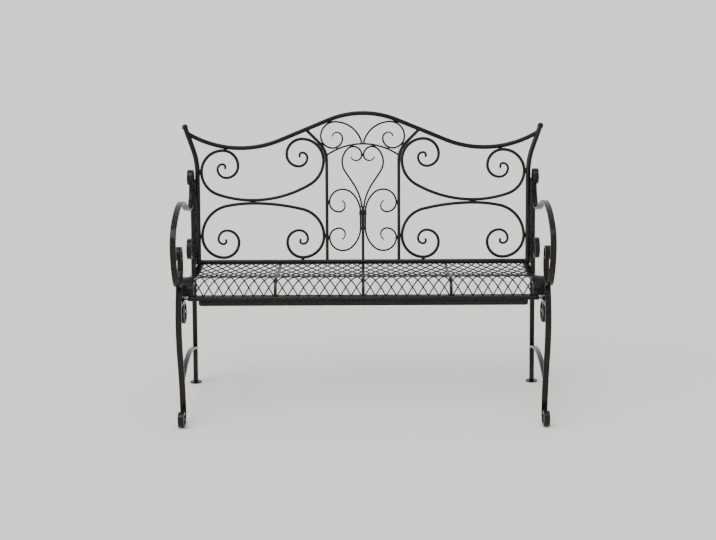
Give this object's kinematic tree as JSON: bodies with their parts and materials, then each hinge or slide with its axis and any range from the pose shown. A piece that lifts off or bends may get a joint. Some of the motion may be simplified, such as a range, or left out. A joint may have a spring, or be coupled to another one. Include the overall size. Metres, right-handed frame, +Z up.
{
  "type": "garden bench",
  "caption": "Wrought iron garden bench with a scrolled back, a heart motif in the middle, scrolled arms and a dished diamond mesh seat on curled legs.",
  "frame": {"origin": "centre of the overall box, on the floor", "axes": "+X to the right as seen from the front, +Y towards the back, +Z up; the front faces -Y"},
  "size_m": [1.2964, 0.5761, 1.0017],
  "materials": {
    "painted_iron": "nearly black brown paint with a soft gloss, rubbed lighter on the edges",
    "seat_mesh": "nearly black brown paint with a soft gloss",
    "fasteners": "painted over with the frame"
  },
  "bodies": {
    "root": {"arm_left": "painted_iron", "arm_right": "painted_iron", "back_post_left": "painted_iron", "back_post_right": "painted_iron", "back_top_rail": "painted_iron", "bracket_scroll_left": "painted_iron", "bracket_scroll_right": "painted_iron", "centre_arch": "painted_iron", "centre_collar": "painted_iron", "centre_post": "painted_iron", "centre_scroll_left": "painted_iron", "centre_scroll_right": "painted_iron", "corner_plate_left": "painted_iron", "corner_plate_right": "painted_iron", "crest_scroll_left": "painted_iron", "crest_scroll_right": "painted_iron", "finial_ball_left": "painted_iron", "finial_ball_right": "painted_iron", "front_leg_left": "painted_iron", "front_leg_right": "painted_iron", "heart_scroll_left": "painted_iron", "heart_scroll_right": "painted_iron", "inner_upright_left": "painted_iron", "inner_upright_right": "painted_iron", "leg_stretcher_left": "painted_iron", "leg_stretcher_right": "painted_iron", "lower_scroll_left": "painted_iron", "lower_scroll_right": "painted_iron", "rear_foot_left": "painted_iron", "rear_foot_right": "painted_iron", "rear_leg_left": "painted_iron", "rear_leg_right": "painted_iron", "scroll_stubs": "painted_iron", "seat_bearer_left": "painted_iron", "seat_bearer_right": "painted_iron", "seat_front_rail": "painted_iron", "seat_mesh_inner_left": "seat_mesh", "seat_mesh_inner_right": "seat_mesh", "seat_mesh_outer_left": "seat_mesh", "seat_mesh_outer_right": "seat_mesh", "seat_rear_rail": "painted_iron", "seat_screws": "fasteners", "seat_side_rail_left": "painted_iron", "seat_side_rail_right": "painted_iron", "seat_stiffener": "painted_iron", "seat_strap_centre": "painted_iron", "seat_strap_left": "painted_iron", "seat_strap_right": "painted_iron", "upper_scroll_left": "painted_iron", "upper_scroll_right": "painted_iron"}
  },
  "joints": []
}
